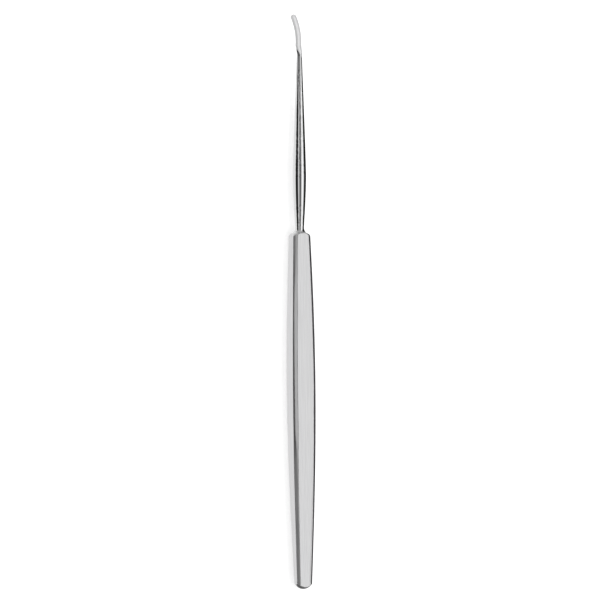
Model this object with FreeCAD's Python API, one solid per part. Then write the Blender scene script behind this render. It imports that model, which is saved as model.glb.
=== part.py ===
import FreeCAD, Part
import math
import os

# A sickle knife, made from one bar of steel. It lies on a main face of its handle, with its
# length along Y and the blade's end towards +Y. The blade curves towards -X, and +Z is up.
# Lengths are in millimetres and angles in degrees.

# The handle is a bar with eight flats: two side faces, two main faces above and below, and
# four corner flats that take the same leg off both of their neighbours. Side faces and corner
# flats swell in one smooth curve from end to end of the blank, and each pole is the place
# along the handle at which that end of the curve points.
HANDLE_LENGTH = 117.7
WIDTH_AT_BUTT = 5.32
WIDTH_AT_MIDDLE = 8.36
WIDTH_AT_FRONT = 6.1
SIDE_REAR_POLE = 54.5
SIDE_FRONT_POLE = 74.0
CORNER_LEG_AT_BUTT = 0.96
CORNER_LEG_AT_MIDDLE = 1.27
CORNER_LEG_AT_FRONT = 1.14
CORNER_REAR_POLE = 51.7
CORNER_FRONT_POLE = 79.9

# The main faces are true planes along the land in the middle, on which the knife lies, and
# curve in from there to both ends. Each ease is how far a curve runs on along the plane.
LAND_START = 57.0
LAND_END = 85.0
THICKNESS_AT_BUTT = 4.0
THICKNESS_AT_LAND = 7.2
THICKNESS_AT_FRONT = 5.72
LAND_REAR_EASE = 6.0
LAND_FRONT_EASE = 6.0

# The long edges between the flats are softly rounded.
EDGE_ROUND = 0.28

# The ends of the handle are turned: a shallow dome at the butt, and at the front a rounded
# shoulder that flows into the neck through a concave fillet.
BUTT_DOME_RADIUS = 3.3
BUTT_DOME_SPREAD = 75.0
SHOULDER_ROUND = 1.5
SHOULDER_LAND = 0.12
NECK_FILLET = 1.8
NECK_DIAMETER = 3.0

# The shank is turned too: it swells from the neck to a belly and tapers to a slender waist.
# Each ease is how far the outline runs on almost parallel to the axis before it turns.
SHANK_LEAN = 0.6
NECK_TO_BELLY = 16.5
BELLY_TO_WAIST = 40.25
BELLY_DIAMETER = 4.44
WAIST_DIAMETER = 1.8
NECK_EASE = 1.5
BELLY_REAR_EASE = 6.5
BELLY_FRONT_EASE = 7.0
WAIST_EASE = 2.5

# Between the waist and the blade's heel the round rod is forged flat. The powers set how
# late the change comes: first the thickness, then the spread to the blade's width.
FORGED_LENGTH = 3.5
FORGED_SECTIONS = 5
FLATTENING_POWER = 1.5
SPREADING_POWER = 2.3
ROD_CREST_ANGLE = 30.0

# The blade is flat, bent edgewise to a circle and ground with a bevel all round, which
# takes the same share of the width from both edges. Its back edge lies on the +X side, and
# the corner of its heel stands out on the other. The tip's round is larger than half the
# width by the spare, so it meets the back edge smoothly and the front edge in a corner.
BLADE_WIDTH = 2.03
BLADE_THICKNESS = 0.5
EDGE_THICKNESS = 0.1
BEVEL_SHARE = 0.325
BACK_OFFSET = 0.71
HEEL_FLARE = 0.08
STRAIGHT_LENGTH = 1.2
BACK_RADIUS = 21.1
BACK_ARC_ANGLE = 23.7
TIP_SPARE = 0.085

# How far a blank runs on past the places where its ends are turned.
RUN_OUT = 1.0

ORIGIN = FreeCAD.Vector(0, 0, 0)
ACROSS = FreeCAD.Vector(1, 0, 0)
ALONG = FreeCAD.Vector(0, 1, 0)
UP = FreeCAD.Vector(0, 0, 1)


def level(x, y):
    """A point in the horizontal plane that holds the handle's axis."""
    return FreeCAD.Vector(x, y, 0)


def arc(start, middle, end):
    """The circular edge through three points."""
    return Part.Arc(start, middle, end).toShape()


def polar(centre, radius, angle):
    """The point of a level circle at an angle from +X."""
    turn = math.radians(angle)
    return level(centre.x + radius * math.cos(turn), centre.y + radius * math.sin(turn))


def bezier(*poles):
    """The smooth edge that the poles draw."""
    curve = Part.BezierCurve()
    curve.setPoles(list(poles))
    return curve.toShape()


def swelling_side(sizes, rear_pole, front_pole):
    """The lengthwise outline of a flat that swells between its ends, from its three sizes."""
    at_butt, at_middle, at_front = (size / 2 for size in sizes)
    pole_level = (8 * at_middle - at_butt - at_front) / 6
    butt = level(at_butt, -RUN_OUT)
    front = level(at_front, HANDLE_LENGTH + RUN_OUT)
    return [bezier(butt, level(pole_level, rear_pole), level(pole_level, front_pole), front)]


def side_with_land():
    """The lengthwise outline of a main face, with the straight land in its middle."""
    butt = level(THICKNESS_AT_BUTT / 2, -RUN_OUT)
    land_start = level(THICKNESS_AT_LAND / 2, LAND_START)
    land_end = level(THICKNESS_AT_LAND / 2, LAND_END)
    front = level(THICKNESS_AT_FRONT / 2, HANDLE_LENGTH + RUN_OUT)
    rear_curve = bezier(butt, land_start - ALONG * LAND_REAR_EASE, land_start)
    front_curve = bezier(land_end, land_end + ALONG * LAND_FRONT_EASE, front)
    return [rear_curve, Part.makeLine(land_start, land_end), front_curve]


def bar_between_flats(turn, side):
    """A bar with one pair of opposite flats, turned about the handle's axis."""
    other_side = [edge.mirror(ORIGIN, ACROSS) for edge in reversed(side)]
    start, end = side[0].Vertexes[0].Point, side[-1].Vertexes[-1].Point
    front = Part.makeLine(end, level(-end.x, end.y))
    back = Part.makeLine(level(-start.x, start.y), start)
    outline = Part.Wire(Part.__sortEdges__(side + [front] + other_side + [back]))
    breadth = 2 * WIDTH_AT_MIDDLE
    bar = Part.Face(outline).extrude(UP * breadth)
    bar.translate(UP * (-breadth / 2))
    bar.rotate(ORIGIN, ALONG, turn)
    return bar


def across_corners(width, thickness, leg):
    """The distance between two opposite corner flats."""
    return (width + thickness - 2 * leg) / math.sqrt(2)


def faceted_bar():
    """The handle's eight flats with rounded long edges, before its ends are turned."""
    widths = (WIDTH_AT_BUTT, WIDTH_AT_MIDDLE, WIDTH_AT_FRONT)
    thicknesses = (THICKNESS_AT_BUTT, THICKNESS_AT_LAND, THICKNESS_AT_FRONT)
    legs = (CORNER_LEG_AT_BUTT, CORNER_LEG_AT_MIDDLE, CORNER_LEG_AT_FRONT)
    diagonals = [across_corners(*sizes) for sizes in zip(widths, thicknesses, legs)]
    side_face = swelling_side(widths, SIDE_REAR_POLE, SIDE_FRONT_POLE)
    corner_flat = swelling_side(diagonals, CORNER_REAR_POLE, CORNER_FRONT_POLE)
    bar = bar_between_flats(0, side_face).common(bar_between_flats(90, side_with_land()))
    bar = bar.common(bar_between_flats(45, corner_flat))
    bar = bar.common(bar_between_flats(-45, corner_flat))
    long_edges = [edge for edge in bar.Edges if edge.Length > WIDTH_AT_MIDDLE]
    return bar.makeFillet(EDGE_ROUND, long_edges)


def turned(edges):
    """The solid swept about the axis by a profile that starts and ends on the axis."""
    start = edges[0].Vertexes[0].Point
    end = edges[-1].Vertexes[-1].Point
    face = Part.Face(Part.Wire(edges + [Part.makeLine(end, start)]))
    return face.revolve(ORIGIN, ALONG, 360)


def butt_envelope():
    """Everything inside the turned dome of the butt, open to the front."""
    centre = level(0, BUTT_DOME_RADIUS)
    crown = polar(centre, BUTT_DOME_RADIUS, -90)
    middle = polar(centre, BUTT_DOME_RADIUS, BUTT_DOME_SPREAD / 2 - 90)
    brim = polar(centre, BUTT_DOME_RADIUS, BUTT_DOME_SPREAD - 90)
    clear_of_bar = WIDTH_AT_MIDDLE
    rise = (clear_of_bar - brim.x) * math.tan(math.radians(BUTT_DOME_SPREAD))
    outside = level(clear_of_bar, brim.y + rise)
    front_rim = level(clear_of_bar, HANDLE_LENGTH + 2 * RUN_OUT)
    front_centre = level(0, front_rim.y)
    edges = [arc(crown, middle, brim), Part.makeLine(brim, outside)]
    edges += [Part.makeLine(outside, front_rim), Part.makeLine(front_rim, front_centre)]
    return turned(edges)


def shoulder_radius():
    """The radius that clears the corners of the eight flats at the handle's front."""
    half_width = WIDTH_AT_FRONT / 2
    half_thickness = THICKNESS_AT_FRONT / 2
    side_corner = math.hypot(half_width, half_thickness - CORNER_LEG_AT_FRONT)
    face_corner = math.hypot(half_width - CORNER_LEG_AT_FRONT, half_thickness)
    return max(side_corner, face_corner) + SHOULDER_LAND


def shoulder_sweep():
    """The angle through which the shoulder's round turns before the neck fillet takes over."""
    drop = shoulder_radius() - NECK_DIAMETER / 2
    return math.degrees(math.acos(1 - drop / (SHOULDER_ROUND + NECK_FILLET)))


def shoulder_envelope():
    """Everything inside the turned shoulder, open to the back."""
    sweep = shoulder_sweep()
    start = HANDLE_LENGTH - SHOULDER_ROUND * math.sin(math.radians(sweep))
    centre = level(shoulder_radius() - SHOULDER_ROUND, start)
    brow = polar(centre, SHOULDER_ROUND, 0)
    middle = polar(centre, SHOULDER_ROUND, sweep / 2)
    foot = polar(centre, SHOULDER_ROUND, sweep)
    clear_of_bar = WIDTH_AT_MIDDLE
    back_centre = level(0, -2 * RUN_OUT)
    back_rim = level(clear_of_bar, back_centre.y)
    front_rim = level(clear_of_bar, start)
    edges = [Part.makeLine(back_centre, back_rim), Part.makeLine(back_rim, front_rim)]
    edges += [Part.makeLine(front_rim, brow), arc(brow, middle, foot)]
    edges += [Part.makeLine(foot, level(0, foot.y))]
    return turned(edges)


def neck_position():
    """Where the neck fillet ends and the shank begins."""
    return HANDLE_LENGTH + NECK_FILLET * math.sin(math.radians(shoulder_sweep()))


def waist_position():
    """Where the turned shank ends and the forged length begins."""
    return neck_position() + NECK_TO_BELLY + BELLY_TO_WAIST


def heel_position():
    """Where the forged length ends and the blade begins."""
    return waist_position() + FORGED_LENGTH


def shank():
    """The turned rod from the foot of the shoulder to the waist."""
    sweep = shoulder_sweep()
    neck = level(NECK_DIAMETER / 2, neck_position())
    fillet_centre = level(neck.x + NECK_FILLET, neck.y)
    foot = polar(fillet_centre, NECK_FILLET, 180 + sweep)
    middle = polar(fillet_centre, NECK_FILLET, 180 + sweep / 2)
    belly = level(BELLY_DIAMETER / 2, neck.y + NECK_TO_BELLY)
    waist = level(WAIST_DIAMETER / 2, waist_position())
    swell = bezier(neck, neck + ALONG * NECK_EASE, belly - ALONG * BELLY_REAR_EASE, belly)
    taper = bezier(belly, belly + ALONG * BELLY_FRONT_EASE, waist - ALONG * WAIST_EASE, waist)
    edges = [Part.makeLine(level(0, foot.y), foot), arc(foot, middle, neck), swell, taper]
    edges += [Part.makeLine(waist, level(0, waist.y))]
    return turned(edges)


def bevel_width():
    """How far the bevel reaches in from an edge of the blade."""
    return BLADE_WIDTH * BEVEL_SHARE


def heel_corners():
    """The eight corners of the blade's section at its heel, as places across and up."""
    back = BACK_OFFSET
    front = BACK_OFFSET - BLADE_WIDTH - HEEL_FLARE
    edge = EDGE_THICKNESS / 2
    flat = BLADE_THICKNESS / 2
    bevel = bevel_width()
    upper = [(back, edge), (back - bevel, flat), (front + bevel, flat), (front, edge)]
    lower = [(across, -up) for across, up in reversed(upper)]
    return upper + lower


def rod_angles():
    """The angles on the round rod that flow into the corners of the blade's section."""
    edge = math.degrees(math.asin(EDGE_THICKNESS / WAIST_DIAMETER))
    upper = [edge, 90 - ROD_CREST_ANGLE, 90 + ROD_CREST_ANGLE, 180 - edge]
    lower = [360 - angle for angle in reversed(upper)]
    return upper + lower


def forged_section(share):
    """A section of the forged length: the round rod at share 0, the blade's heel at 1."""
    radius = WAIST_DIAMETER / 2
    spread = share**SPREADING_POWER
    flattened = share**FLATTENING_POWER
    angles = rod_angles()
    corners = []
    for angle, (across, up) in zip(angles, heel_corners()):
        on_rod = polar(ORIGIN, radius, angle)
        x = on_rod.x + (across - on_rod.x) * spread
        z = on_rod.y + (up - on_rod.y) * flattened
        corners.append(FreeCAD.Vector(x, 0, z))
    edges = []
    for number, start in enumerate(corners):
        end = corners[(number + 1) % len(corners)]
        first_angle = angles[number]
        last_angle = angles[(number + 1) % len(angles)]
        half_step = ((last_angle - first_angle) % 360) / 2
        outwards = polar(ORIGIN, 1, first_angle + half_step)
        outwards = FreeCAD.Vector(outwards.x, 0, outwards.y)
        if share == 0:
            edges.append(arc(start, outwards * radius, end))
            continue
        half_turn = math.radians(half_step)
        bulge = radius / math.cos(half_turn) - radius * math.cos(half_turn)
        pole = (start + end) / 2 + outwards * (bulge * (1 - flattened))
        edges.append(bezier(start, pole, end))
    section = Part.Wire(edges)
    section.translate(ALONG * (waist_position() + FORGED_LENGTH * share))
    return section


def forged_length():
    """The smooth change from the round rod to the blade's flat section."""
    last = FORGED_SECTIONS - 1
    sections = [forged_section(number / last) for number in range(FORGED_SECTIONS)]
    return Part.makeLoft(sections, True, False)


def blade_outline(inset, height):
    """The blade's outline from above, drawn in by an inset and laid at a height."""
    back_x = BACK_OFFSET - inset
    front_x = BACK_OFFSET - BLADE_WIDTH + inset
    centre = level(BACK_OFFSET - BACK_RADIUS, STRAIGHT_LENGTH)
    back_radius = BACK_RADIUS - inset
    front_radius = BACK_RADIUS - BLADE_WIDTH + inset
    tip_radius = BLADE_WIDTH / 2 + TIP_SPARE - inset
    tip_reach = back_radius - tip_radius
    tip_centre = polar(centre, tip_reach, BACK_ARC_ANGLE)

    squares = tip_reach**2 + front_radius**2 - tip_radius**2
    beyond_tip_centre = math.degrees(math.acos(squares / (2 * tip_reach * front_radius)))
    front_angle = BACK_ARC_ANGLE + beyond_tip_centre
    point = polar(centre, front_radius, front_angle)
    to_point = math.degrees(math.atan2(point.y - tip_centre.y, point.x - tip_centre.x)) % 360

    back_start = level(back_x, STRAIGHT_LENGTH)
    back_middle = polar(centre, back_radius, BACK_ARC_ANGLE / 2)
    back_end = polar(centre, back_radius, BACK_ARC_ANGLE)
    tip_middle = polar(tip_centre, tip_radius, (BACK_ARC_ANGLE + to_point) / 2)
    front_middle = polar(centre, front_radius, front_angle / 2)
    front_start = level(front_x, STRAIGHT_LENGTH)
    heel_front = level(front_x - HEEL_FLARE, 0)
    heel_back = level(back_x, 0)
    outline = Part.Wire(
        [
            Part.makeLine(heel_back, back_start),
            arc(back_start, back_middle, back_end),
            arc(back_end, tip_middle, point),
            arc(point, front_middle, front_start),
            Part.makeLine(front_start, heel_front),
            Part.makeLine(heel_front, heel_back),
        ]
    )
    outline.translate(FreeCAD.Vector(0, heel_position(), height))
    return outline


def blade():
    """The flat blade with its thin edge and the bevels above and below it."""
    edge = EDGE_THICKNESS / 2
    flat = BLADE_THICKNESS / 2
    bevel = bevel_width()
    layers = ((bevel, -flat), (0, -edge), (0, edge), (bevel, flat))
    return Part.makeLoft([blade_outline(inset, height) for inset, height in layers], True, True)


def leaned(shape):
    """A shape of the knife's front, swung about the handle's front by the shank's lean."""
    shape.rotate(level(0, HANDLE_LENGTH), UP, -SHANK_LEAN)
    return shape


def sickle_knife():
    """The whole knife as one solid, with its origin below the middle of its box."""
    handle = faceted_bar().common(butt_envelope()).common(leaned(shoulder_envelope()))
    front = shank().fuse([forged_length(), blade()])
    knife = handle.fuse(leaned(front)).removeSplitter()
    box = knife.optimalBoundingBox(False, False)
    knife.translate(FreeCAD.Vector(-box.Center.x, -box.Center.y, -box.ZMin))
    return knife.Solids[0]


os.makedirs("parts", exist_ok=True)
sickle_knife().exportStep("parts/sickle_knife.step")
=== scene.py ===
"""A sickle knife of solid steel, lying on a pale studio floor and seen from above.

The knife lies along Y with its blade towards +Y, on a main face of its handle.
"""

import logging
import math
from collections.abc import Callable
from dataclasses import dataclass, field
from enum import Enum

import bpy
from mathutils import Matrix, Vector


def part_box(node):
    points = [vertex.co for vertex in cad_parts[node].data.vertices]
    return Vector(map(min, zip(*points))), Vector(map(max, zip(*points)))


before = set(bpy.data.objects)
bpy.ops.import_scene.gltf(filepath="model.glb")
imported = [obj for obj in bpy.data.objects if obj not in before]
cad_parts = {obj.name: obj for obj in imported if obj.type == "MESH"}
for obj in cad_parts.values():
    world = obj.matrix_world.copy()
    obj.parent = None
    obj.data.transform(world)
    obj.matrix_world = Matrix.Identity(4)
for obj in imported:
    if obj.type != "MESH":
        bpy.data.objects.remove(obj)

LOG = logging.getLogger("sickle_knife")

MM = 0.001
NODE = "sickle_knife"

Colour = tuple[float, float, float]
Reach = tuple[float, float]
Socket = bpy.types.NodeSocket
Shares = dict["Zone", Socket]
Blend = Callable[[object, object, object], Socket]


class Zone(Enum):
    """The parts of the knife that are finished in different ways, each laid over the last."""

    FLATS = "satin main faces and side faces of the handle"
    CORNERS = "finer corner flats of the handle"
    TURNED = "polished shoulder, shank and butt"
    FORGED = "slightly darker end of the shank"
    BLADE = "matt sides of the blade"
    BEVEL = "ground bevels round the blade"


class NodeGraph:
    """A thin layer over a node tree that adds and links nodes by name."""

    # A Mix node's sockets share their names, so they are picked by place.
    MIX_SHARE = 0
    MIX_NUMBERS = (2, 3)
    MIX_COLOURS = (6, 7)
    MIX_COLOUR_RESULT = 2

    def __init__(self, tree: bpy.types.NodeTree) -> None:
        """Keeps a node tree and empties it."""
        self.tree = tree
        tree.nodes.clear()

    def add(self, kind: str, **attributes: object) -> bpy.types.Node:
        """Adds a node.

        Args:
            kind: The node's type name.
            attributes: Attributes of the node, by name.

        Returns:
            The new node.
        """
        node = self.tree.nodes.new(kind)
        for name, value in attributes.items():
            setattr(node, name, value)
        return node

    def feed(self, socket: Socket, value: object) -> None:
        """Gives a socket a constant or the output of another node.

        Args:
            socket: The input socket.
            value: A number, a colour or an output socket.
        """
        if isinstance(value, Socket):
            self.tree.links.new(value, socket)
        else:
            socket.default_value = value

    def feed_in_order(self, node: bpy.types.Node, *values: object) -> None:
        """Gives a node's inputs their values, from the first input on."""
        for socket, value in zip(node.inputs, values):
            self.feed(socket, value)

    def lead_out(self, kind: str, surface: Socket) -> None:
        """Adds an output node and leads a surface to it."""
        self.feed(self.add(kind).inputs["Surface"], surface)

    def math(self, operation: str, *values: object, clamp: bool = False) -> Socket:
        """Adds a Math node.

        Args:
            operation: The operation's name.
            values: Its inputs, as numbers or output sockets.
            clamp: Whether the result is held between 0 and 1.

        Returns:
            The node's output.
        """
        node = self.add("ShaderNodeMath", operation=operation, use_clamp=clamp)
        self.feed_in_order(node, *values)
        return node.outputs[0]

    def split(self, vector: Socket) -> bpy.types.NodeOutputs:
        """Splits a vector into its outputs X, Y and Z.

        Args:
            vector: The vector.

        Returns:
            The outputs, by name.
        """
        node = self.add("ShaderNodeSeparateXYZ")
        self.feed(node.inputs["Vector"], vector)
        return node.outputs

    def ramp_between(self, value: object, low: float, high: float) -> Socket:
        """Turns a value into a smooth share between 0 and 1.

        Args:
            value: The value as an output socket.
            low: The value that gives 0.
            high: The value that gives 1.

        Returns:
            The share.
        """
        node = self.add("ShaderNodeMapRange", interpolation_type="SMOOTHSTEP", clamp=True)
        self.feed(node.inputs["Value"], value)
        self.feed(node.inputs["From Min"], low)
        self.feed(node.inputs["From Max"], high)
        return node.outputs["Result"]

    def blend(self, share: object, low: object, high: object) -> Socket:
        """Mixes two numbers.

        Args:
            share: How much of the second number is taken.
            low: The first number.
            high: The second number.

        Returns:
            The mixed number.
        """
        node = self.add("ShaderNodeMix", data_type="FLOAT")
        self.feed(node.inputs[self.MIX_SHARE], share)
        for place, value in zip(self.MIX_NUMBERS, (low, high)):
            self.feed(node.inputs[place], value)
        return node.outputs[0]

    def blend_colour(self, share: object, low: object, high: object) -> Socket:
        """Mixes two colours.

        Args:
            share: How much of the second colour is taken.
            low: The first colour.
            high: The second colour.

        Returns:
            The mixed colour.
        """
        node = self.add("ShaderNodeMix", data_type="RGBA")
        self.feed(node.inputs[self.MIX_SHARE], share)
        for place, value in zip(self.MIX_COLOURS, (low, high)):
            self.feed(node.inputs[place], value)
        return node.outputs[self.MIX_COLOUR_RESULT]


def new_material(name: str) -> tuple[bpy.types.Material, NodeGraph]:
    """Makes a material with an empty graph.

    Args:
        name: The material's name.

    Returns:
        The material and its graph.
    """
    material = bpy.data.materials.new(name)
    material.use_nodes = True
    return material, NodeGraph(material.node_tree)


@dataclass(frozen=True)
class ZoneFinish:
    """How one zone of the steel is finished.

    Attributes:
        tone: The steel's colour.
        streaks: How much darker the steel is where the grain lies lowest.
        metal: How much of the light it mirrors, the rest being scattered as by fine matt steel.
        roughness: The roughness of its surface.
        grain: How strongly the grain changes the roughness.
        relief: How strongly the grain shows in the surface.
    """

    tone: Colour
    streaks: float
    metal: float
    roughness: float
    grain: float
    relief: float

    def toned(self, graph: NodeGraph, lift: Socket) -> Socket:
        """The colour, darker in streaks where the grain isn't lifted."""
        low = tuple(part * (1 - self.streaks) for part in self.tone)
        return graph.blend_colour(lift, (*low, 1.0), (*self.tone, 1.0))

    def roughened(self, graph: NodeGraph, height: Socket) -> Socket:
        """The roughness, which rises and falls with the grain's height."""
        return graph.math("MULTIPLY_ADD", height, 2 * self.grain, self.roughness - self.grain)


@dataclass(frozen=True)
class Grain:
    """The fine lengthwise grain that grinding and polishing leave.

    Attributes:
        width: How wide its lines are.
        length: How long they are.
        detail: How many finer layers lie over them.
        depth: How deep they are at full relief.
        streak_reach: The heights between which a dark streak ends.
    """

    width: float = 0.28 * MM
    length: float = 14.0 * MM
    detail: float = 3.0
    depth: float = 0.004 * MM
    streak_reach: Reach = (0.35, 0.65)

    def height(self, graph: NodeGraph, place: Socket) -> Socket:
        """Makes the grain.

        Args:
            graph: The material's graph.
            place: Object coordinates.

        Returns:
            The grain's height between 0 and 1.
        """
        mapping = graph.add("ShaderNodeMapping")
        graph.feed(mapping.inputs["Vector"], place)
        graph.feed(mapping.inputs["Scale"], (1 / self.width, 1 / self.length, 1 / self.width))
        noise = graph.add("ShaderNodeTexNoise", noise_dimensions="3D")
        graph.feed(noise.inputs["Vector"], mapping.outputs["Vector"])
        graph.feed(noise.inputs["Scale"], 1.0)
        graph.feed(noise.inputs["Detail"], self.detail)
        return noise.outputs["Fac"]


@dataclass(frozen=True)
class CornerCrown:
    """The slight crown that the polisher's belt leaves across the corner flats.

    A place across a corner flat is how much further it lies from the handle's axis sideways
    than upwards, measured along the flat.

    Attributes:
        axis_height: How high the handle's axis lies.
        reach: Where the corner flats begin and end.
        crest: Where the crown turns over.
        crest_width: How softly it turns over.
        slope: How steeply it falls to both sides.
        lean: How far the whole flat leans towards the main face.
        end_slope: The slope towards both ends of the handle.
        end_lean: The lean towards both ends of the handle.
        front_shift: How far the crest moves towards the main face in front.
        front_reach: Where along the handle it does so.
        butt_shift: How far the crest moves towards the main face at the butt.
        butt_reach: Where along the handle it does so, measured towards the butt.
    """

    axis_height: float
    reach: Reach = (-0.5 * MM, 1.3 * MM)
    crest: float = 0.58 * MM
    crest_width: float = 0.12 * MM
    slope: float = 0.165
    lean: float = 0.06
    end_slope: float = 0.05
    end_lean: float = 0.12
    front_shift: float = 0.45 * MM
    front_reach: Reach = (-5.0 * MM, 20.0 * MM)
    butt_shift: float = 0.55 * MM
    butt_reach: Reach = (42.0 * MM, 53.0 * MM)

    def normal(self, graph: NodeGraph, place: Socket, turned: Socket) -> Socket:
        """Crowns the surface.

        Args:
            graph: The material's graph.
            place: Object coordinates.
            turned: The share of the turned finish, which has no crown.

        Returns:
            The crowned normal.
        """
        parts = graph.split(place)
        to_front = graph.ramp_between(parts["Y"], *self.front_reach)
        to_butt = graph.ramp_between(graph.math("MULTIPLY", parts["Y"], -1.0), *self.butt_reach)
        at_ends = graph.math("ADD", to_front, to_butt)
        crest = graph.math("MULTIPLY_ADD", to_front, -self.front_shift, self.crest)
        crest = graph.math("MULTIPLY_ADD", to_butt, -self.butt_shift, crest)

        across = graph.math("SUBTRACT", self.place_across(graph, parts), crest)
        square = graph.math("MULTIPLY_ADD", across, across, self.crest_width**2)
        slope = graph.blend(at_ends, -self.slope, -self.end_slope)
        lean = graph.blend(at_ends, self.lean, self.end_lean)
        height = graph.math("MULTIPLY", graph.math("SQRT", square), slope)
        height = graph.math("MULTIPLY_ADD", across, lean, height)

        bump = graph.add("ShaderNodeBump")
        graph.feed(bump.inputs["Strength"], graph.math("SUBTRACT", 1.0, turned))
        graph.feed(bump.inputs["Distance"], 1.0)
        graph.feed(bump.inputs["Height"], height)
        return bump.outputs["Normal"]

    def place_across(self, graph: NodeGraph, parts: bpy.types.NodeOutputs) -> Socket:
        """Finds the place across the corner flat, held to the flat's two edges.

        Args:
            graph: The material's graph.
            parts: Object coordinates, as X, Y and Z.

        Returns:
            The place across.
        """
        sideways = graph.math("ABSOLUTE", parts["X"])
        upwards = graph.math("ABSOLUTE", graph.math("SUBTRACT", parts["Z"], self.axis_height))
        across = graph.math("DIVIDE", graph.math("SUBTRACT", sideways, upwards), math.sqrt(2))
        across = graph.math("MAXIMUM", across, self.reach[0])
        return graph.math("MINIMUM", across, self.reach[1])


@dataclass(frozen=True)
class ZoneBorders:
    """Where one finish of the knife gives way to the next.

    Attributes:
        corner_tilt: How evenly a surface faces up and sideways where the corner flats begin.
        shoulder_reach: Where along the knife the shoulder's polish begins.
        turned_slope: How much a surface faces along the knife where an end's polish begins.
        forged_reach: Where the shank grows darker towards the blade.
        heel_reach: Where the matt finish begins, on the line through the heel's middle.
        heel_middle: Where that line lies across the knife.
        heel_slant: How much earlier the matt finish begins for each step to the right.
        bevel_tilt: How far a surface has turned from level where the bevels begin.
    """

    corner_tilt: Reach = (0.6, 0.9)
    shoulder_reach: Reach = (22.6 * MM, 23.2 * MM)
    turned_slope: Reach = (0.16, 0.26)
    forged_reach: Reach = (69.0 * MM, 76.0 * MM)
    heel_reach: Reach = (81.4 * MM, 83.2 * MM)
    heel_middle: float = 0.4 * MM
    heel_slant: float = 1.7
    bevel_tilt: Reach = (0.02, 0.05)

    def shares(self, graph: NodeGraph, place: bpy.types.Node) -> Shares:
        """Finds where each finish lies over the satin flats.

        Args:
            graph: The material's graph.
            place: The Texture Coordinate node.

        Returns:
            How much each zone covers what comes before it.
        """
        parts = graph.split(place.outputs["Object"])
        facing = graph.split(place.outputs["Normal"])

        both_ways = graph.math("MULTIPLY", facing["X"], facing["Z"])
        evenness = graph.math("MULTIPLY", graph.math("ABSOLUTE", both_ways), 2.0)
        on_corners = graph.ramp_between(evenness, *self.corner_tilt)

        in_front = graph.ramp_between(parts["Y"], *self.shoulder_reach)
        at_ends = graph.ramp_between(graph.math("ABSOLUTE", facing["Y"]), *self.turned_slope)
        turned = graph.math("MAXIMUM", in_front, at_ends)
        forged = graph.ramp_between(parts["Y"], *self.forged_reach)

        sideways = graph.math("SUBTRACT", parts["X"], self.heel_middle)
        slanted = graph.math("MULTIPLY_ADD", sideways, self.heel_slant, parts["Y"])
        blade = graph.ramp_between(slanted, *self.heel_reach)
        tilt = graph.math("SUBTRACT", 1.0, graph.math("ABSOLUTE", facing["Z"]))
        bevel = graph.math("MULTIPLY", blade, graph.ramp_between(tilt, *self.bevel_tilt))
        return {
            Zone.CORNERS: on_corners,
            Zone.TURNED: turned,
            Zone.FORGED: forged,
            Zone.BLADE: blade,
            Zone.BEVEL: bevel,
        }


SATIN = ZoneFinish(
    tone=(0.8, 0.8, 0.805), streaks=0.1, metal=1.0, roughness=0.42, grain=0.06, relief=1.0
)
FINE_SATIN = ZoneFinish(
    tone=(0.8, 0.8, 0.805), streaks=0.1, metal=1.0, roughness=0.34, grain=0.05, relief=1.0
)
POLISH = ZoneFinish(
    tone=(0.78, 0.78, 0.785), streaks=0.0, metal=1.0, roughness=0.03, grain=0.01, relief=0.1
)
DARK_POLISH = ZoneFinish(
    tone=(0.64, 0.64, 0.645), streaks=0.0, metal=1.0, roughness=0.04, grain=0.01, relief=0.1
)
MATT = ZoneFinish(
    tone=(0.83, 0.83, 0.835), streaks=0.06, metal=0.4, roughness=0.5, grain=0.05, relief=0.6
)
GROUND = ZoneFinish(
    tone=(0.71, 0.71, 0.715), streaks=0.04, metal=0.5, roughness=0.45, grain=0.05, relief=0.4
)


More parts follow.
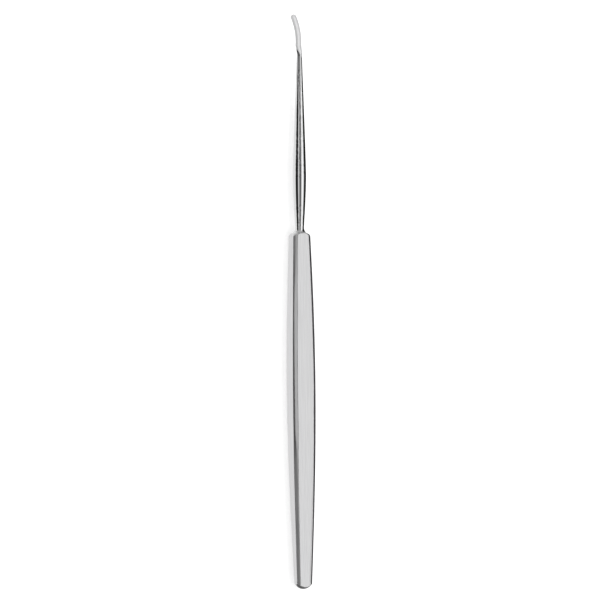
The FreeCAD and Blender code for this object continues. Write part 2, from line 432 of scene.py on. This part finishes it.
@dataclass(frozen=True)
class KnifeSteel:
    """The knife's steel, with a finish for each zone.

    Attributes:
        crown: The crown of the corner flats.
        grain: The grain, which all zones share.
        borders: Where the zones meet.
        name: The material's name.
    """

    crown: CornerCrown
    grain: Grain = Grain()
    borders: ZoneBorders = ZoneBorders()
    name: str = "knife_steel"

    def finishes(self) -> dict[Zone, ZoneFinish]:
        """The finish of each zone.

        Returns:
            The finishes, in the order in which they lie over each other.
        """
        return {
            Zone.FLATS: SATIN,
            Zone.CORNERS: FINE_SATIN,
            Zone.TURNED: POLISH,
            Zone.FORGED: DARK_POLISH,
            Zone.BLADE: MATT,
            Zone.BEVEL: GROUND,
        }

    def make(self) -> bpy.types.Material:
        """Builds the material.

        Returns:
            The material, whose zones follow Object coordinates.
        """
        material, graph = new_material(self.name)
        place = graph.add("ShaderNodeTexCoord")
        height = self.grain.height(graph, place.outputs["Object"])
        lift = graph.ramp_between(height, *self.grain.streak_reach)
        shares = self.borders.shares(graph, place)

        finishes = self.finishes().items()
        tones = {zone: finish.toned(graph, lift) for zone, finish in finishes}
        roughness = {zone: finish.roughened(graph, height) for zone, finish in finishes}
        metals = {zone: finish.metal for zone, finish in finishes}
        reliefs = {zone: finish.relief for zone, finish in finishes}

        bump = graph.add("ShaderNodeBump")
        graph.feed(bump.inputs["Strength"], self.zoned(graph.blend, reliefs, shares))
        graph.feed(bump.inputs["Distance"], self.grain.depth)
        graph.feed(bump.inputs["Height"], height)
        crowned = self.crown.normal(graph, place.outputs["Object"], shares[Zone.TURNED])
        graph.feed(bump.inputs["Normal"], crowned)

        shader = graph.add("ShaderNodeBsdfPrincipled")
        graph.feed(shader.inputs["Metallic"], self.zoned(graph.blend, metals, shares))
        graph.feed(shader.inputs["Base Color"], self.zoned(graph.blend_colour, tones, shares))
        graph.feed(shader.inputs["Roughness"], self.zoned(graph.blend, roughness, shares))
        graph.feed(shader.inputs["Normal"], bump.outputs["Normal"])
        graph.lead_out("ShaderNodeOutputMaterial", shader.outputs["BSDF"])
        return material

    def zoned(self, blend: Blend, values: dict[Zone, object], shares: Shares) -> object:
        """Gives each zone its own value.

        Args:
            blend: The graph's blend for values of this kind.
            values: The value of each zone.
            shares: How much each zone covers what comes before it.

        Returns:
            The value that holds at each place.
        """
        mixed = values[Zone.FLATS]
        for zone, share in shares.items():
            mixed = blend(share, mixed, values[zone])
        return mixed


@dataclass(frozen=True)
class FloorPaper:
    """The floor's pale paper, which keeps the knife's shadow.

    The steel looks through it to the cards, which are as pale as the paper.

    Attributes:
        name: The material's name.
        tone: The paper's colour.
        lift: How much lighter the camera sees it, which turns the ground round the shadow white.
    """

    name: str = "floor_paper"
    tone: Colour = (0.8, 0.8, 0.8)
    lift: float = 0.47

    def make(self) -> bpy.types.Material:
        """Builds the material.

        Returns:
            The material.
        """
        material, graph = new_material(self.name)
        path = graph.add("ShaderNodeLightPath")
        paper = graph.add("ShaderNodeBsdfDiffuse")
        graph.feed(paper.inputs["Color"], (*self.tone, 1.0))
        glow = graph.add("ShaderNodeEmission")
        lift = graph.math("MULTIPLY", path.outputs["Is Camera Ray"], self.lift)
        graph.feed(glow.inputs["Strength"], lift)
        lit = graph.add("ShaderNodeAddShader")
        graph.feed_in_order(lit, paper.outputs["BSDF"], glow.outputs["Emission"])
        clear = graph.add("ShaderNodeBsdfTransparent")
        mixed = graph.add("ShaderNodeMixShader")
        seen_in_steel = path.outputs["Is Glossy Ray"]
        graph.feed_in_order(mixed, seen_in_steel, lit.outputs["Shader"], clear.outputs["BSDF"])
        graph.lead_out("ShaderNodeOutputMaterial", mixed.outputs["Shader"])
        return material


@dataclass(frozen=True)
class Card:
    """One pale card round the knife, as a stretch of the ring that the steel mirrors.

    Attributes:
        level: How bright the card is.
        rise: Where it begins and where it is full, in degrees from straight up towards +X.
        fall: Where it begins to fade and where it ends.
    """

    level: float
    rise: Reach
    fall: Reach

    def light(self, graph: NodeGraph, angle: Socket) -> Socket:
        """Works out how much light the card sends from each angle.

        Args:
            graph: The world's graph.
            angle: Degrees from straight up, towards +X.

        Returns:
            The card's light.
        """
        risen = graph.ramp_between(angle, *self.rise)
        fallen = graph.ramp_between(angle, *self.fall)
        shown = graph.math("SUBTRACT", risen, fallen, clamp=True)
        return graph.math("MULTIPLY", shown, self.level)


@dataclass
class Surroundings:
    """The studio as the steel mirrors it, and the light that it gives to matt surfaces.

    The cards stand in a dark room all along the knife, which is why its polished rod shows
    them as long stripes. The room is grey past the blade, and dark below the butt.

    Attributes:
        left_wall: The card on the left, from low on the left round to straight down.
        left_strip: The narrow card high on the left.
        top_card: The card above, a little to the right.
        right_wall: The card on the right, from low on the right round to straight down.
        room_level: How bright the room is between the cards.
        front_reach: How far a direction points past the blade where the grey there begins.
        front_level: How bright it is past the blade.
        butt_reach: How far a direction points past the butt where the dark there begins.
        butt_dip: How far below level it points there.
        butt_level: How bright it is below the butt.
        soft_level: How much light matt surfaces get from all sides.
        backdrop_level: How bright the camera sees the backdrop.
    """

    left_wall: Card = Card(level=0.92, rise=(-182.0, -181.0), fall=(-104.0, -89.0))
    left_strip: Card = Card(level=0.85, rise=(-58.0, -38.0), fall=(-37.0, -17.0))
    top_card: Card = Card(level=1.25, rise=(-15.0, 35.0), fall=(38.0, 68.0))
    right_wall: Card = Card(level=0.9, rise=(112.0, 163.0), fall=(181.0, 182.0))
    room_level: float = 0.012
    front_reach: Reach = (0.65, 0.95)
    front_level: float = 0.47
    butt_reach: Reach = (0.4, 0.65)
    butt_dip: Reach = (0.0, 0.3)
    butt_level: float = 0.13
    soft_level: float = 0.8
    backdrop_level: float = 1.0

    def build(self) -> bpy.types.World:
        """Makes the world.

        Returns:
            The world, which the scene uses.
        """
        world = bpy.data.worlds.new("studio")
        bpy.context.scene.world = world
        world.use_nodes = True
        graph = NodeGraph(world.node_tree)
        path = graph.add("ShaderNodeLightPath")
        level = graph.blend(path.outputs["Is Glossy Ray"], self.soft_level, self.mirrored(graph))
        level = graph.blend(path.outputs["Is Camera Ray"], level, self.backdrop_level)
        light = graph.add("ShaderNodeBackground")
        graph.feed(light.inputs["Color"], (1.0, 1.0, 1.0, 1.0))
        graph.feed(light.inputs["Strength"], level)
        graph.lead_out("ShaderNodeOutputWorld", light.outputs["Background"])
        return world

    def mirrored(self, graph: NodeGraph) -> Socket:
        """Lays out what the steel mirrors.

        Args:
            graph: The world's graph.

        Returns:
            The level of light in each direction.
        """
        place = graph.add("ShaderNodeTexCoord")
        parts = graph.split(place.outputs["Generated"])
        angle = graph.math("DEGREES", graph.math("ARCTAN2", parts["X"], parts["Z"]))
        level: object = self.room_level
        for card in (self.left_wall, self.left_strip, self.top_card, self.right_wall):
            level = graph.math("ADD", level, card.light(graph, angle))
        in_front = graph.ramp_between(parts["Y"], *self.front_reach)
        level = graph.blend(in_front, level, self.front_level)
        behind = graph.ramp_between(graph.math("MULTIPLY", parts["Y"], -1.0), *self.butt_reach)
        below = graph.ramp_between(graph.math("MULTIPLY", parts["Z"], -1.0), *self.butt_dip)
        return graph.blend(graph.math("MULTIPLY", behind, below), level, self.butt_level)


@dataclass
class Floor:
    """The pale floor that the knife lies on.

    Attributes:
        radius: The floor's radius.
        sides: How many sides its round outline has.
        paper: The floor's finish.
    """

    radius: float = 12.0
    sides: int = 96
    paper: FloorPaper = FloorPaper()

    def build(self) -> bpy.types.Object:
        """Makes the floor.

        Returns:
            The floor.
        """
        bpy.ops.object.select_all(action="DESELECT")
        bpy.ops.mesh.primitive_circle_add(vertices=self.sides, radius=self.radius, fill_type="NGON")
        floor = bpy.context.object
        floor.name = "floor"
        floor.data.materials.append(self.paper.make())
        return floor


@dataclass
class SoftLamp:
    """A large soft lamp above the knife.

    Attributes:
        name: The lamp's name.
        place: Where it hangs.
        size: How long its sides are.
        power: Its power in watts.
    """

    name: str = "soft_lamp"
    place: Vector = field(default_factory=lambda: Vector((0.5, -0.2, 1.2)))
    size: float = 0.9
    power: float = 6.0

    def build(self) -> bpy.types.Object:
        """Makes the lamp.

        Returns:
            The lamp, which shines on the knife.
        """
        data = bpy.data.lights.new(self.name, "AREA")
        data.shape = "SQUARE"
        data.size = self.size
        data.energy = self.power
        lamp = bpy.data.objects.new(self.name, data)
        bpy.context.scene.collection.objects.link(lamp)
        lamp.location = self.place
        lamp.rotation_euler = (-self.place).to_track_quat("-Z", "Y").to_euler()
        lamp.visible_glossy = False
        return lamp


@dataclass
class Camera:
    """The camera at the photograph's viewing angle, far off with a long lens.

    Attributes:
        axis_height: How high the handle's axis lies.
        turn: How far the camera stands to the left of straight above.
        roll: How far it is rolled about its own line of sight.
        metres_per_pixel: The size of a pixel at the knife.
        frame_pixels: The width of the frame.
        middle: Where the middle of the knife's box lies in the frame, from its upper left corner.
        lens: The focal length in millimetres.
        sensor: The sensor's width in millimetres.
        clip_reach: The nearest and the furthest distance that it sees.
    """

    axis_height: float
    turn: float = math.radians(24.8)
    roll: float = math.radians(-0.6056)
    metres_per_pixel: float = 0.3305 * MM
    frame_pixels: float = 600.0
    middle: tuple[float, float] = (300.27, 301.8)
    lens: float = 500.0
    sensor: float = 36.0
    clip_reach: Reach = (0.01, 100.0)

    def build(self) -> bpy.types.Object:
        """Makes the camera and gives it to the scene.

        Returns:
            The camera.
        """
        across = Vector((math.cos(self.turn), 0.0, math.sin(self.turn)))
        along = Vector((0.0, 1.0, 0.0))
        right = across * math.cos(self.roll) + along * math.sin(self.roll)
        up = along * math.cos(self.roll) - across * math.sin(self.roll)
        back = right.cross(up)
        centre = self.frame_pixels / 2
        target = Vector((0.0, 0.0, self.axis_height))
        target -= right * (self.middle[0] - centre) * self.metres_per_pixel
        target += up * (self.middle[1] - centre) * self.metres_per_pixel

        data = bpy.data.cameras.new("camera")
        data.lens = self.lens
        data.sensor_width = self.sensor
        data.clip_start, data.clip_end = self.clip_reach
        distance = self.frame_pixels * self.metres_per_pixel * self.lens / self.sensor
        camera = bpy.data.objects.new("camera", data)
        bpy.context.scene.collection.objects.link(camera)
        turned = Matrix((right, up, back)).transposed().to_4x4()
        camera.matrix_world = Matrix.Translation(target + back * distance) @ turned
        bpy.context.scene.camera = camera
        return camera


@dataclass
class Knife:
    """The knife itself, one solid from butt to tip.

    Attributes:
        steel: The finish of the knife.
    """

    steel: KnifeSteel

    def build(self) -> bpy.types.Object:
        """Dresses the knife.

        Returns:
            The knife.
        """
        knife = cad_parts[NODE]
        material = self.steel.make()
        for slot in knife.material_slots:
            slot.material = material
        return knife


def main() -> None:
    """Builds the knife, the studio and the camera."""
    logging.basicConfig(level=logging.INFO, format="%(name)s: %(message)s")
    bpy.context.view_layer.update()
    bpy.context.scene.view_settings.view_transform = "Standard"
    lowest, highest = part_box(NODE)
    axis_height = (lowest[2] + highest[2]) / 2
    knife = Knife(KnifeSteel(CornerCrown(axis_height))).build()
    LOG.info("%s with %d faces", knife.name, len(knife.data.polygons))
    for thing in (Surroundings(), Floor(), SoftLamp(), Camera(axis_height)):
        LOG.info("%s", thing.build().name)


if __name__ == "__main__":
    main()
